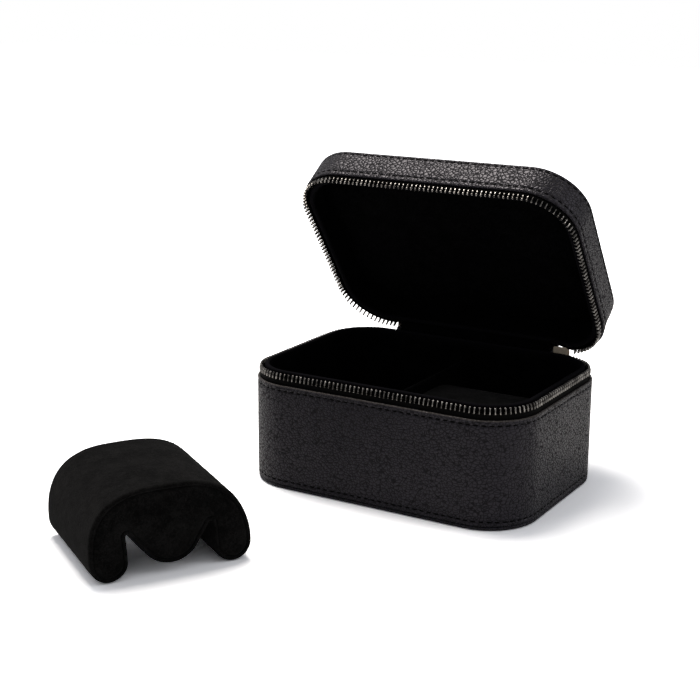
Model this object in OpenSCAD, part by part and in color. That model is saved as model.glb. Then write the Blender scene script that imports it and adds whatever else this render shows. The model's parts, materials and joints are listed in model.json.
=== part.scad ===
// Zipped leather travel case for two watches, with a lift-out cushion for each.
// All lengths are in millimetres. The origin is the centre of the case's underside,
// +X is the case's right, +Y its back (the hinge side), +Z up.
// The lid is drawn closed and then swung open about the hinge.

/* [Case] */
// Outside width of the case
case_w = 160; // [140:1:200]
// Outside depth of the case
case_d = 116; // [100:1:140]
// Radius of the four upright corners
corner_r = 27.5; // [20:0.5:32]
// Height of the base's leather band
base_h = 56; // [48:1:80]
// Height of the lid's leather band
lid_h = 18.5; // [15:0.5:30]
// Space between the two leather edges when closed, filled by the zip
zip_gap = 9; // [8.5:0.1:10]
// How far the lid stands open, in degrees
open_angle = 54.5; // [0:0.5:95]

/* [Walls] */
// Thickness of the leather
leather_t = 1.6; // [1.2:0.1:2]
// Rounding of the leather's outer fold
fold_r = 2.2; // [1.8:0.1:3]
// Width that the band is turned under the base and over the lid
turn_w = 5; // [4:0.5:8]
// Thickness of the stiffening board
board_t = 2.6; // [2.4:0.1:3.5]
// Width of the zip tape sewn between leather and board
seam_w = 6; // [4:0.5:7]
// Thickness of the padded suede lining
lining_t = 2.2; // [1.6:0.1:3]
// Thickness of the lining on the floor
floor_lining_t = 1; // [0.6:0.1:2]
// How far the base's lining stands above its leather edge
lining_lip = 6.8; // [5:0.1:7.4]
// Thickness of the pad under the lid's top
lid_pad_t = 4; // [2:0.5:6]

/* [Divider] */
// Thickness of the divider's board
divider_board_t = 1.6; // [1:0.1:2.4]
// Thickness of the suede over the divider
divider_suede_t = 0.7; // [0.5:0.1:1.2]
// Height of the divider above the floor
divider_h = 47.8; // [35:0.2:52]

/* [Zip] */
// Thickness of the zip tape
tape_t = 0.8; // [0.6:0.1:1]
// Distance from one tooth to the next along a row
tooth_pitch = 2.45; // [2.3:0.05:3]
// Width of a tooth along the row
tooth_w = 1.05; // [0.8:0.05:1.1]
// Thickness of a tooth across the tape
tooth_t = 2.1; // [1.8:0.1:2.2]
// Height of a tooth
tooth_h = 3.4; // [3:0.1:3.8]
// Depth by which the two rows mesh when closed
mesh_depth = 1.6; // [1.2:0.1:1.8]
// Height of the base's tape above its leather edge
tape_rise = 2.6; // [2.3:0.1:2.9]
// Distance of the zip's left end from the back left corner's bend
zip_end = 3.9; // [0:0.1:12]
// Width of an end stop along the tape
stop_w = 2.2; // [1.6:0.1:3]

/* [Slider] */
// How far the parked slider's middle stands past the start of the back right bend
slider_past = 1.2; // [0:0.1:1.2]
// Length of the slider along the zip
slider_l = 8; // [6:0.1:8]
// How far the slider runs back to its end stop
slider_travel = 1.5; // [1:0.5:10]
// Thickness of the slider's outer plate
slider_plate_t = 0.55; // [0.4:0.05:0.6]
// Thickness of the slider's inner plate
slider_back_t = 0.4; // [0.3:0.05:0.4]
// Height of the slider's inner plate above the lining's lip
slider_show = 0.5; // [0.2:0.1:0.6]
// Clearance between the teeth and the outer plate
slider_gap = 0.2; // [0.15:0.05:0.3]
// Clearance between the teeth and the inner plate, for the bend at the corner
slider_bend_gap = 0.6; // [0.4:0.05:0.6]
// Radius of the arch bar that carries the pull
arch_r = 0.7; // [0.5:0.05:0.9]
// Distance of the arch bar's middle from the outer plate
arch_reach = 2.4; // [2.2:0.1:3]

/* [Pull] */
// Length of the leather pull below the arch bar
pull_l = 27; // [18:1:36]
// Width of the pull at its rounded end
pull_w = 6.4; // [5:0.2:9]
// Width of the pull where it loops round the arch bar
pull_neck_w = 3; // [2.6:0.1:4]
// Thickness of one layer of the pull
pull_t = 0.9; // [0.7:0.05:1]
// Clearance between the loop and the arch bar
pull_gap = 0.35; // [0.3:0.05:0.5]
// Radius of the rivet's shaft
rivet_r = 0.95; // [0.7:0.05:1.2]

/* [Hinge] */
// Distance of the hinge line behind the back face
hinge_back = 1.5; // [1:0.1:3]
// Distance of the hinge leather's left end from the back left corner's bend
hinge_end = 2.3; // [0.5:0.1:12]
// Clearance between the hinge lining's ends and the zip's end stops
hinge_end_gap = 0.4; // [0.3:0.1:4]
// Thickness of the hinge leather
hinge_t = 1.4; // [1:0.1:1.8]
// Overlap of the hinge leather on the base and on the lid
hinge_lap = 10; // [6:1:14]

/* [Cushions] */
// Width of a cushion, round which a bracelet closes
cushion_w = 77.2; // [60:0.2:84]
// Height of a cushion
cushion_h = 42.4; // [36:0.2:50]
// Free length of a cushion, which is squeezed where its compartment is shorter
cushion_l = 68.4; // [60:0.2:80]
// Thickness of the suede wrapped round a cushion
wrap_t = 1; // [0.6:0.1:1.4]
// Distance of the end seam inside a cushion's edge
end_inset = 2.2; // [1.6:0.1:3]
// Thickness of a cushion's end panel
end_t = 1; // [0.8:0.1:1.4]
// How far an end panel stands proud
end_proud = 0.4; // [0.2:0.1:0.8]
// Clearance of a cushion in its compartment
cushion_gap = 0.3; // [0.3:0.1:1.5]
// Near end of the loose cushion, right of the case's centre
loose_x = -34.5; // [-60:0.05:-20]
// Near end of the loose cushion, in front of the case's centre
loose_y = -173.1; // [-220:0.1:-150]
// Turn of the loose cushion about the vertical, in degrees
loose_turn = 147.5; // [120:0.1:170]

/* [Hidden] */
$fn = 48;
eps = 0.01;
far = 2 * (case_w + case_d);

// layers of the wall, as distances in from the outline
board_in = leather_t;
lining_in = board_in + board_t;
room_in = lining_in + lining_t;
tape_mid = leather_t + tape_t / 2;

// half lengths of the straight sides
side_x = case_w / 2 - corner_r;
side_y = case_d / 2 - corner_r;
back_y = case_d / 2;

// heights in the base
board_z = leather_t + board_t;
floor_z = board_z + floor_lining_t;
seam_z = base_h - seam_w;
tooth_z = base_h + tape_rise;
tooth_tip_z = tooth_z + tooth_h;
base_lip_z = base_h + lining_lip;

// heights in the closed lid
lid_z = base_h + zip_gap;
lid_top_z = lid_z + lid_h;
lid_seam_z = lid_z + seam_w;
lid_board_z = lid_top_z - leather_t - board_t;
lid_tip_z = tooth_tip_z - mesh_depth;
lid_tooth_z = lid_tip_z + tooth_h;
lip_gap = 0.4;
lid_lip_z = base_lip_z + lip_gap;

// slider, its track and its stop
slider_room = 0.3;
slider_x = side_x + slider_past;
stop_x = slider_x - slider_l / 2 - slider_travel - slider_room;
zip_left = side_x - zip_end;
stop_gap = 0.3;
stop_h = (lid_tooth_z - tooth_z - stop_gap) / 2;
row_x = stop_x + slider_gap;
lid_row_x = slider_x + slider_l / 2 + 1.4;
slider_low_z = base_h + 0.6;
slider_top_z = lid_z - slider_room;
tooth_in = tape_mid - tooth_t / 2;
tooth_out = tape_mid + tooth_t / 2;
plate_y = back_y - tooth_in + slider_gap;
back_plate_y = back_y - tooth_out - slider_bend_gap;
arch_y = plate_y + slider_plate_t + arch_reach;
arch_z = (slider_low_z + slider_top_z) / 2 + 0.55;
arch_foot_w = 0.8;
arch_foot_x = pull_neck_w / 2 + pull_gap;
arch_half = arch_foot_x + arch_foot_w;
loop_r = arch_r + pull_gap;
pull_full_t = 2 * pull_t;

// hinge line, and the ends of the hinge leather
hinge_y = back_y + hinge_back;
hinge_z = base_h + zip_gap / 2;
hinge_part_gap = 0.3;
hinge_left = side_x - hinge_end;
hinge_right = slider_x - slider_travel - max(pull_w / 2, arch_half) - slider_room;
lining_left = zip_left - stop_w - hinge_end_gap;
lining_right = stop_x - stop_w - hinge_end_gap;

// the closed path of the tooth rows, clockwise from above, from the back right end
track_r = corner_r - tape_mid;
bend_l = track_r * PI / 2;
track = [
  side_x - row_x, bend_l, 2 * side_y, bend_l, 2 * side_x, bend_l, 2 * side_y, bend_l,
  side_x - zip_left
];
function sum_to(k) = k < 0 ? 0 : track[k] + sum_to(k - 1);
track_l = sum_to(len(track) - 1);
tooth_count = floor(track_l / tooth_pitch);
pitch = track_l / tooth_count;

// compartments
divider_t = divider_board_t + 2 * divider_suede_t;
room_r = corner_r - room_in;
function wall_x(y) =
  side_x + (abs(y) > side_y ? sqrt(pow(room_r, 2) - pow(abs(y) - side_y, 2)) : room_r);

// cushion: its profile lies in Y and Z and runs along X
room_l = wall_x(cushion_w / 2) - divider_t / 2 - 2 * cushion_gap - end_proud;
seated_l = min(cushion_l, room_l);
seated_x = divider_t / 2 + cushion_gap + end_proud + seated_l / 2;
end_sunk = end_t - end_proud;
half_w = cushion_w / 2;
shoulder_z = 9.3;
shoulder_p = 3;
shoulder_q = 2.35;
leg_mid = 0.77 * half_w;
leg_face = 0.529 * half_w;
leg_face_z = 8.5;
notch_z = 20.6;
belly_z = 19.3;
belly_r = 0.386 * half_w;
belly_slope = 56;
notch_drop = (notch_z - belly_z) * cos(belly_slope);
notch_r = (leg_face * sin(belly_slope) - notch_drop - belly_r) / (1 + sin(belly_slope));
notch_x = leg_face - notch_r;

// right half of a cushion's outline, from the top round to the belly's lowest point,
// drawn d inside the real one
function half_profile(d) = concat(
  [for (i = [0:12]) let (t = 90 - 7.5 * i) [
    (half_w - d) * pow(cos(t), 2 / shoulder_p),
    shoulder_z + (cushion_h - shoulder_z - d) * pow(sin(t), 2 / shoulder_q)
  ]],
  [for (i = [1:6]) let (t = 15 * i) [
    leg_mid + (half_w - d - leg_mid) * cos(t),
    shoulder_z + (d - shoulder_z) * sin(t)
  ]],
  [for (i = [1:5]) let (t = 90 - 18 * i) [
    leg_mid - (leg_mid - leg_face - d) * cos(t),
    leg_face_z + (d - leg_face_z) * sin(t)
  ]],
  [for (i = [0:6]) let (t = (90 + belly_slope) * i / 6) [
    notch_x + (notch_r + d) * cos(t),
    notch_z + (notch_r + d) * sin(t)
  ]],
  [for (i = [0:6]) let (t = belly_slope * (1 - i / 6) - 90) [
    (belly_r - d) * cos(t),
    belly_z + (belly_r - d) * sin(t)
  ]]
);
function flipped(points) = [for (i = [len(points) - 2:-1:1]) [-points[i][0], points[i][1]]];

// a point of a cubic curve, and its direction
function curve(p, t) =
  pow(1 - t, 3) * p[0] + 3 * t * pow(1 - t, 2) * p[1] + 3 * t * t * (1 - t) * p[2]
  + pow(t, 3) * p[3];
function slope(p, t) =
  3 * pow(1 - t, 2) * (p[1] - p[0]) + 6 * t * (1 - t) * (p[2] - p[1])
  + 3 * t * t * (p[3] - p[2]);
function side_of(d) = [d[1], -d[0]] / norm(d);

// a point of the closed lid, given in Y and Z, where the open lid has it
function swung(y, z) = [
  hinge_y + (y - hinge_y) * cos(open_angle) + (z - hinge_z) * sin(open_angle),
  hinge_z - (y - hinge_y) * sin(open_angle) + (z - hinge_z) * cos(open_angle)
];

// place on the tooth path at distance s: x, y and heading
function on_side(j, s) = [
  [row_x + s, back_y - tape_mid, 0],
  [case_w / 2 - tape_mid, side_y - s, -90],
  [side_x - s, tape_mid - back_y, -180],
  [tape_mid - case_w / 2, s - side_y, -270],
  [s - side_x, back_y - tape_mid, 0]
][j];
function on_bend(j, s) =
  let (
    middle = [[side_x, side_y], [side_x, -side_y], [-side_x, -side_y], [-side_x, side_y]][j],
    turn = 90 - 90 * j - s / track_r * 180 / PI
  )
  [middle[0] + track_r * cos(turn), middle[1] + track_r * sin(turn), turn - 90];
function place(s, k = 0) =
  k < len(track) - 1 && s > track[k] ? place(s - track[k], k + 1)
  : k % 2 == 0 ? on_side(k / 2, s) : on_bend((k - 1) / 2, s);

// ---------------------------------------------------------------- shared shapes

// rounded rectangle of the case's outline, drawn in by d
module outline(d) {
  r = corner_r - d;
  square([case_w - 2 * d, 2 * side_y], center = true);
  square([2 * side_x, case_d - 2 * d], center = true);
  for (x = [-side_x, side_x], y = [-side_y, side_y]) translate([x, y]) circle(r);
}

// flat sheet between two heights
module sheet(d, z0, z1) {
  translate([0, 0, z0]) linear_extrude(z1 - z0) outline(d);
}

// upright wall between two insets
module wall(d0, d1, z0, z1) {
  translate([0, 0, z0]) linear_extrude(z1 - z0) difference() {
    outline(d0);
    outline(d1);
  }
}

// sweeps a profile round the outline: its X is the distance out from the outline
module swept() {
  for (k = [0:3]) {
    along = k % 2 == 0 ? side_x : side_y;
    across = k % 2 == 0 ? back_y : case_w / 2;
    rotate([0, 0, 90 * k]) {
      translate([-along, across, 0]) rotate([90, 0, 90]) linear_extrude(2 * along) children();
      translate([along, across - corner_r, 0])
        rotate_extrude(angle = 90) translate([corner_r, 0]) children();
    }
  }
}

// leather band's profile: upright, folded at the foot and turned in
module band_profile(h) {
  difference() {
    union() {
      translate([-turn_w, fold_r]) square([turn_w, h - fold_r]);
      translate([-turn_w, 0]) square([turn_w - fold_r, fold_r + eps]);
      translate([-fold_r, fold_r]) circle(fold_r);
    }
    translate([-turn_w - 1, leather_t]) square([turn_w + 1 - leather_t, h]);
  }
}

// lining wall's profile: upright with a rounded lip
module lip_profile(h) {
  translate([-room_in, 0]) square([lining_t, h - lining_t / 2]);
  translate([-lining_in - lining_t / 2, h - lining_t / 2]) circle(lining_t / 2);
}

// everything that belongs to the lid, swung open
module opened() {
  translate([0, hinge_y, hinge_z]) rotate([-open_angle, 0, 0])
    translate([0, -hinge_y, -hinge_z]) children();
}

// block at the back that keeps the span between x0 and x1 below z
module back_span(x0, x1, z0, z1) {
  translate([x0, back_y - room_in, z0]) cube([x1 - x0, room_in + 1, z1 - z0]);
}

// one tooth, its foot at the origin, its row along X
module tooth() {
  head = tooth_t * 0.62;
  rotate([90, 0, 90]) translate([0, 0, -tooth_w / 2]) linear_extrude(tooth_w) polygon([
    [-tooth_t / 2, 0], [tooth_t / 2, 0], [tooth_t / 2, tooth_h * 0.62],
    [head / 2, tooth_h], [-head / 2, tooth_h], [-tooth_t / 2, tooth_h * 0.62]
  ]);
}

// end stop clamped on the tape's edge, from x and z up
module stop_block(x, z) {
  translate([x, back_y - tooth_out - slider_gap / 2, z])
    cube([stop_w, tooth_t + slider_gap, stop_h]);
}

// cushion's outline, d inside the real one
module cushion_outline(d) {
  half = half_profile(d);
  polygon(concat(half, flipped(half)));
}

// slice of a cushion from x0 to x1
module cushion_slice(x0, x1, d) {
  translate([x0, 0, 0]) rotate([90, 0, 90]) linear_extrude(x1 - x0) cushion_outline(d);
}
module cushion_core(l) {
  cushion_slice(end_sunk - l / 2, l / 2 - end_sunk, wrap_t);
}
module cushion_wrap(l) {
  difference() {
    cushion_slice(-l / 2, l / 2, 0);
    cushion_slice(-l / 2 - 1, l / 2 + 1, wrap_t);
  }
}
// side is -1 for the left end and 1 for the right
module cushion_end(l, side) {
  x = side * ((l + end_t) / 2 - end_sunk);
  cushion_slice(x - end_t / 2, x + end_t / 2, end_inset);
}
module seated() {
  translate([seated_x, 0, floor_z + cushion_gap]) children();
}
module loose() {
  translate([loose_x, loose_y, 0]) rotate([0, 0, loose_turn])
    translate([cushion_l / 2 + end_proud, 0, 0]) children();
}

// ---------------------------------------------------------------- base

module base_leather_band() {
  color("#26262a") swept() band_profile(base_h);
}

module base_bottom_panel() {
  color("#222226") sheet(turn_w, 0, leather_t);
}

module base_board_wall() {
  color("#6d6457") wall(board_in, lining_in, board_z, seam_z);
}

module base_floor_board() {
  color("#6d6457") sheet(board_in, leather_t, board_z);
}

module base_lining_wall() {
  color("#151517") translate([0, 0, floor_z]) swept() lip_profile(base_lip_z - floor_z);
}

module base_lining_floor() {
  color("#151517") sheet(lining_in, board_z, floor_z);
}

module divider_board() {
  color("#6d6457") translate([-divider_board_t / 2, room_in - back_y, floor_z])
    cube([divider_board_t, case_d - 2 * room_in, divider_h - divider_suede_t]);
}

module divider_cover() {
  color("#151517") difference() {
    translate([-divider_t / 2, room_in - back_y, floor_z])
      cube([divider_t, case_d - 2 * room_in, divider_h]);
    translate([-divider_board_t / 2, -far / 2, floor_z - 1])
      cube([divider_board_t, far, divider_h - divider_suede_t + 1]);
  }
}

module base_zip_tape() {
  color("#19191b") difference() {
    wall(leather_t, leather_t + tape_t, seam_z, tooth_z);
    back_span(-zip_left, stop_x - stop_w, seam_z - 1, tooth_z + 1);
  }
}

module base_zip_teeth() {
  color("#5b5855") for (i = [0:tooth_count - 1]) {
    at = place((i + 0.5) * pitch);
    translate([at[0], at[1], tooth_z]) rotate([0, 0, at[2]]) tooth();
  }
}

module base_zip_stops() {
  color("#5b5855") {
    stop_block(stop_x - stop_w, tooth_z);
    stop_block(-zip_left, tooth_z);
  }
}

// ---------------------------------------------------------------- hinge

// strip along the hinge: foot on the base, cubic curve across the gap, tail on the lid
module hinge_strip(left, right, t, foot, start, end, tail, pull) {
  up = [0, pull];
  out = swung(hinge_y, hinge_z + pull) - [hinge_y, hinge_z];
  path = [start, start + up, end - out, end];
  line = concat([foot], [for (i = [0:10]) curve(path, i / 10)], [tail]);
  way = concat([up], [for (i = [0:10]) slope(path, i / 10)], [out]);
  near = [for (i = [0:len(line) - 1]) line[i] + side_of(way[i]) * t / 2];
  back = [for (i = [len(line) - 1:-1:0]) line[i] - side_of(way[i]) * t / 2];
  translate([-left, 0, 0]) rotate([90, 0, 90])
    linear_extrude(left + right) polygon(concat(near, back));
}

module hinge_leather() {
  y = back_y + hinge_t / 2;
  lid_y = y + hinge_part_gap;
  color("#242428") hinge_strip(
    hinge_left, hinge_right, hinge_t, [y, base_h - hinge_lap], [y, base_h], swung(lid_y, lid_z),
    swung(lid_y, lid_z + hinge_lap), zip_gap * 0.38
  );
}

module hinge_lining() {
  y = back_y - tape_mid;
  lid_y = y - tape_t;
  color("#151517") hinge_strip(
    lining_left, lining_right, tape_t, [y, seam_z], [y, base_h], swung(lid_y, lid_z),
    swung(lid_y, lid_seam_z - hinge_part_gap), zip_gap * 0.42
  );
}

// ---------------------------------------------------------------- lid

module lid_leather_band() {
  color("#26262a") opened() translate([0, 0, lid_top_z]) mirror([0, 0, 1])
    swept() band_profile(lid_h);
}

module lid_top_panel() {
  color("#222226") opened() sheet(turn_w, lid_top_z - leather_t, lid_top_z);
}

module lid_board_wall() {
  color("#6d6457") opened() wall(board_in, lining_in, lid_seam_z, lid_board_z);
}

module lid_top_board() {
  color("#6d6457") opened() sheet(board_in, lid_board_z, lid_top_z - leather_t);
}

module lid_lining_wall() {
  color("#151517") opened() translate([0, 0, lid_board_z]) mirror([0, 0, 1])
    swept() lip_profile(lid_board_z - lid_lip_z);
}

module lid_lining_pad() {
  color("#151517") opened() sheet(room_in, lid_board_z - lid_pad_t, lid_board_z);
}

module lid_zip_tape() {
  color("#19191b") opened() difference() {
    wall(leather_t, leather_t + tape_t, lid_tooth_z, lid_seam_z);
    back_span(-zip_left, lid_row_x, lid_tooth_z - 1, lid_seam_z + 1);
  }
}

module lid_zip_teeth() {
  first = ceil((lid_row_x + tooth_w - row_x) / pitch);
  color("#5b5855") opened() for (i = [first:tooth_count - 1]) {
    at = place(i * pitch);
    translate([at[0], at[1], lid_tooth_z]) rotate([0, 0, at[2]]) mirror([0, 0, 1]) tooth();
  }
}

module lid_zip_stop() {
  color("#5b5855") opened() stop_block(-zip_left, lid_tooth_z - stop_h);
}

// ---------------------------------------------------------------- slider and pull

// plate of the slider, seen from the back
module slider_plate(z0, z1) {
  half = slider_l / 2;
  cut = slider_l * 0.15;
  polygon([
    [-half + cut, z0], [half - cut, z0], [half, z0 + cut], [half, z1 - cut],
    [half - cut, z1], [-half + cut, z1], [-half, z1 - cut], [-half, z0 + cut]
  ]);
}

module zip_slider() {
  wedge_z0 = tooth_tip_z + 0.3;
  wedge_z1 = wedge_z0 + 1.6;
  color("#4c4a48") translate([slider_x, 0, 0]) {
    // outer plate, inner plate and the wedge that joins them above the base's teeth
    translate([0, plate_y + slider_plate_t, 0]) rotate([90, 0, 0])
      linear_extrude(slider_plate_t) slider_plate(slider_low_z, slider_top_z);
    translate([0, back_plate_y, 0]) rotate([90, 0, 0])
      linear_extrude(slider_back_t) slider_plate(slider_low_z, base_lip_z + slider_show);
    translate([0, plate_y, 0]) rotate([90, 0, 0]) linear_extrude(plate_y - back_plate_y)
      polygon([[-2.2, wedge_z0], [3, wedge_z0], [2, wedge_z1], [-1.2, wedge_z1]]);
    // arch: a bar between two feet
    translate([-arch_half, arch_y, arch_z]) rotate([0, 90, 0])
      cylinder(r = arch_r, h = 2 * arch_half);
    for (x = [-arch_half, arch_foot_x])
      translate([x, arch_y - arch_reach, arch_z - arch_r])
        cube([arch_foot_w, arch_reach, 2 * arch_r]);
  }
}

// height of the rivet's middle
rivet_z = arch_z - loop_r - pull_t - 3.2;

module zip_pull_tab() {
  end_r = pull_w / 2;
  low = arch_z - pull_l;
  neck = pull_neck_w / 2;
  color("#222226") difference() {
    union() {
      translate([slider_x - neck, arch_y, arch_z]) rotate([0, 90, 0])
        cylinder(r = loop_r + pull_t, h = pull_neck_w);
      translate([slider_x, arch_y + pull_full_t / 2, 0]) rotate([90, 0, 0])
        linear_extrude(pull_full_t) {
          polygon([
            [-neck, arch_z - loop_r], [neck, arch_z - loop_r], [neck, arch_z - loop_r - pull_t],
            [end_r, rivet_z], [end_r, low + end_r], [-end_r, low + end_r],
            [-end_r, rivet_z], [-neck, arch_z - loop_r - pull_t]
          ]);
          translate([0, low + end_r]) circle(end_r);
        }
    }
    translate([slider_x - pull_w, arch_y, arch_z]) rotate([0, 90, 0])
      cylinder(r = loop_r, h = 2 * pull_w);
    translate([slider_x, arch_y + pull_full_t, rivet_z]) rotate([90, 0, 0])
      cylinder(r = rivet_r + 0.05, h = 2 * pull_full_t);
  }
}

module zip_pull_rivet() {
  head_r = rivet_r * 1.9;
  head_h = 0.45;
  color("#4c4a48") translate([slider_x, arch_y, rivet_z]) rotate([90, 0, 0]) {
    cylinder(r = rivet_r, h = pull_full_t + eps, center = true);
    translate([0, 0, pull_full_t / 2]) cylinder(r1 = head_r, r2 = head_r * 0.75, h = head_h);
    translate([0, 0, -pull_full_t / 2 - head_h])
      cylinder(r1 = head_r * 0.75, r2 = head_r, h = head_h);
  }
}

// ---------------------------------------------------------------- cushions

module seated_cushion_core() {
  color("#8a857c") seated() cushion_core(seated_l);
}
module seated_cushion_wrap() {
  color("#1b1a19") seated() cushion_wrap(seated_l);
}
module seated_cushion_end_left() {
  color("#1b1a19") seated() cushion_end(seated_l, -1);
}
module seated_cushion_end_right() {
  color("#1b1a19") seated() cushion_end(seated_l, 1);
}
module loose_cushion_core() {
  color("#8a857c") loose() cushion_core(cushion_l);
}
module loose_cushion_wrap() {
  color("#1b1a19") loose() cushion_wrap(cushion_l);
}
module loose_cushion_end_near() {
  color("#1b1a19") loose() cushion_end(cushion_l, -1);
}
module loose_cushion_end_far() {
  color("#1b1a19") loose() cushion_end(cushion_l, 1);
}

base_leather_band();
base_bottom_panel();
base_board_wall();
base_floor_board();
base_lining_wall();
base_lining_floor();
divider_board();
divider_cover();
base_zip_tape();
base_zip_teeth();
base_zip_stops();
hinge_leather();
hinge_lining();
lid_leather_band();
lid_top_panel();
lid_board_wall();
lid_top_board();
lid_lining_wall();
lid_lining_pad();
lid_zip_tape();
lid_zip_teeth();
lid_zip_stop();
zip_slider();
zip_pull_tab();
zip_pull_rivet();
seated_cushion_core();
seated_cushion_wrap();
seated_cushion_end_left();
seated_cushion_end_right();
loose_cushion_core();
loose_cushion_wrap();
loose_cushion_end_near();
loose_cushion_end_far();
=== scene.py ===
import json
from math import atan2, ceil, copysign, cos, exp, pi, radians, sin

import bmesh
import bpy
from bmesh.types import BMEdge, BMFace, BMVert
from mathutils import Matrix, Vector, noise


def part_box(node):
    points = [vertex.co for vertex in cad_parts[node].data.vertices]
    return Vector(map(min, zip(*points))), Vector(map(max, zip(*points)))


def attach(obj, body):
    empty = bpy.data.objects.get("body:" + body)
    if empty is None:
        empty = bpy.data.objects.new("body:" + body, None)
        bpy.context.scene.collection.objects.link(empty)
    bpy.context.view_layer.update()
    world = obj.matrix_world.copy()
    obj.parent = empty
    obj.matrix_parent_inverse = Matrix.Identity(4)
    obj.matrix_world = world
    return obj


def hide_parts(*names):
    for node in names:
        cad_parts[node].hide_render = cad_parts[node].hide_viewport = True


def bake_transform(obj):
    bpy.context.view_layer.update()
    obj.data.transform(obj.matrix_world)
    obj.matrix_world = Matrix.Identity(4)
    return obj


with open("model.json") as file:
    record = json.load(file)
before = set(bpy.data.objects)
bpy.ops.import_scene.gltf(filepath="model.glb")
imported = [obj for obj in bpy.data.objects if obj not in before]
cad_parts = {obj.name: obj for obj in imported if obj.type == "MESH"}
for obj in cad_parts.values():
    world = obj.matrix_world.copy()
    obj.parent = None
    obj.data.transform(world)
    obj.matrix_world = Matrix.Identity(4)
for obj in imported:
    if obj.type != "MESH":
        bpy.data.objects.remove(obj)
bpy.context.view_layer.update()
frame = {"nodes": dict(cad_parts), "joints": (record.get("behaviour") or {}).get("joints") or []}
noise.seed_set(4)
scene = bpy.context.scene
quarter = pi / 2


def addThing(name, data):
    thing = bpy.data.objects.new(name, data)
    scene.collection.objects.link(thing)
    return thing


# camera, in metres and degrees
camera = {
    "place": (0.34553, -0.65365, 0.26797),
    "yaw": 30.92,
    "pitch": 15.075,
    "roll": -0.222,
    "lens": 74.79,  # mm
    "sensor": 36,  # mm
    "near": 0.01,
}


def makeCamera():
    yaw, pitch, roll = (radians(camera[key]) for key in ("yaw", "pitch", "roll"))
    flat = cos(pitch)
    forward = Vector((-sin(yaw) * flat, cos(yaw) * flat, -sin(pitch)))
    side = Vector((cos(yaw), sin(yaw), 0))
    up = side.cross(forward)
    turn = Matrix.Rotation(roll, 3, forward)
    axes = (turn @ side, turn @ up, -forward)
    lens = bpy.data.cameras.new("studioCamera")
    lens.lens = camera["lens"]
    lens.sensor_width = camera["sensor"]
    lens.clip_start = camera["near"]
    thing = addThing("studioCamera", lens)
    thing.matrix_world = Matrix.Translation(camera["place"]) @ Matrix(axes).transposed().to_4x4()
    scene.camera = thing


makeCamera()
print("camera set")


def turnAbout(centre, angle, axis):
    centre = Vector(centre)
    return Matrix.Translation(centre) @ Matrix.Rotation(angle, 4, axis) @ Matrix.Translation(-centre)


# everything below is modelled in millimetres and brought to metres in finishPiece
walls = {
    "cornerRadius": 27.5,
    "leather": 1.6,
    "board": 2.6,
    "lining": 2.2,
    "turnIn": 5,
    "floorLining": 5.2,  # height of the lining's top on the floor
    "zipGap": 9,
    "lidBand": 18.5,
    "seam": 6,  # how far a zip tape is sewn in
}
halfWidth, halfDepth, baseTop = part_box("base_leather_band")[1] * 1000
lidHinge = next(joint for joint in frame["joints"] if joint["name"] == "lid_hinge")
hingeAt = Vector(lidHinge["pos_m"]) * 1000
swing = turnAbout(hingeAt, radians(lidHinge["range_deg"][0]), "X")
cornerRadius = walls["cornerRadius"]
sideX, sideY = halfWidth - cornerRadius, halfDepth - cornerRadius
corners = [Vector((x * sideX, y * sideY, 0)) for x, y in ((1, 1), (1, -1), (-1, -1), (-1, 1))]
liningIn = walls["leather"] + walls["board"]
roomIn = liningIn + walls["lining"]
lidEdge = baseTop + walls["zipGap"]
lidTop = lidEdge + walls["lidBand"]
outlineLength = 2 * pi * cornerRadius + 4 * (sideX + sideY)


def smooth(share):
    share = min(max(share, 0), 1)
    return share * share * (3 - 2 * share)


def bell(offset, over):
    return exp(-((offset / over) ** 2))


# soft noise between 0 and 1, its swells about the given size
def cloud(x, y, z, size):
    return 0.5 + 0.5 * noise.noise(Vector((x, y, z)) / size)


# points on an arc, or on part of an ellipse where its height differs
def arc(x, y, radius, start, end, count, tall=None):
    tall = radius if tall is None else tall
    angles = [radians(start + (end - start) * i / count) for i in range(count + 1)]
    return [(x + radius * cos(a), y + tall * sin(a)) for a in angles]


# the nearest point of the rectangle between the corners' middles
def clamped(x, y):
    return min(max(x, -sideX), sideX), min(max(y, -sideY), sideY)


# distance walked clockwise round the outline from the back's middle, and the way out
def walked(x, y):
    nearX, nearY = clamped(x, y)
    turn = atan2(x - nearX, y - nearY)
    tiny = 1e-5
    if turn < -tiny or (turn < tiny and x < 0):
        turn += 2 * pi
    straight = (
        nearX,
        sideX + sideY - nearY,
        2 * (sideX + sideY) - nearX,
        3 * (sideX + sideY) + nearY,
        4 * (sideX + sideY) + nearX,
    )[round(turn / quarter)]
    out = Vector((x - nearX, y - nearY, 0)).normalized()
    return cornerRadius * turn + straight, out


# place and heading after a walk along the line that lies inset from the outline
def placeAlong(distance, inset=0, fromX=0):
    radius = cornerRadius - inset
    straights = (sideX - fromX, 2 * sideY, 2 * sideX, 2 * sideY)
    point = Vector((fromX, halfDepth - inset, 0))
    heading = 0.0
    for straight, middle in zip(straights, corners):
        way = Vector((cos(heading), sin(heading), 0))
        if distance <= straight:
            return point + distance * way, heading
        point += straight * way
        distance -= straight
        turned = min(distance / radius, quarter)
        point = middle + Matrix.Rotation(-turned, 3, "Z") @ (point - middle)
        heading -= turned
        distance -= turned * radius
        if turned < quarter:
            return point, heading
    return point + distance * Vector((cos(heading), sin(heading), 0)), heading


def only(kind, items):
    return [item for item in items if isinstance(item, kind)]


def toMesh(bm, name):
    mesh = bpy.data.meshes.new(name)
    bm.to_mesh(mesh)
    bm.free()
    return mesh


def faceOutward(bm):
    bmesh.ops.recalc_face_normals(bm, faces=bm.faces)


# verts and edges of a line through the points
def addLine(bm, points, closed=True):
    verts = [bm.verts.new(point) for point in points]
    pairs = list(zip(verts, verts[1:] + verts[:1]))
    return verts, [bm.edges.new(pair) for pair in (pairs if closed else pairs[:-1])]


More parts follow.
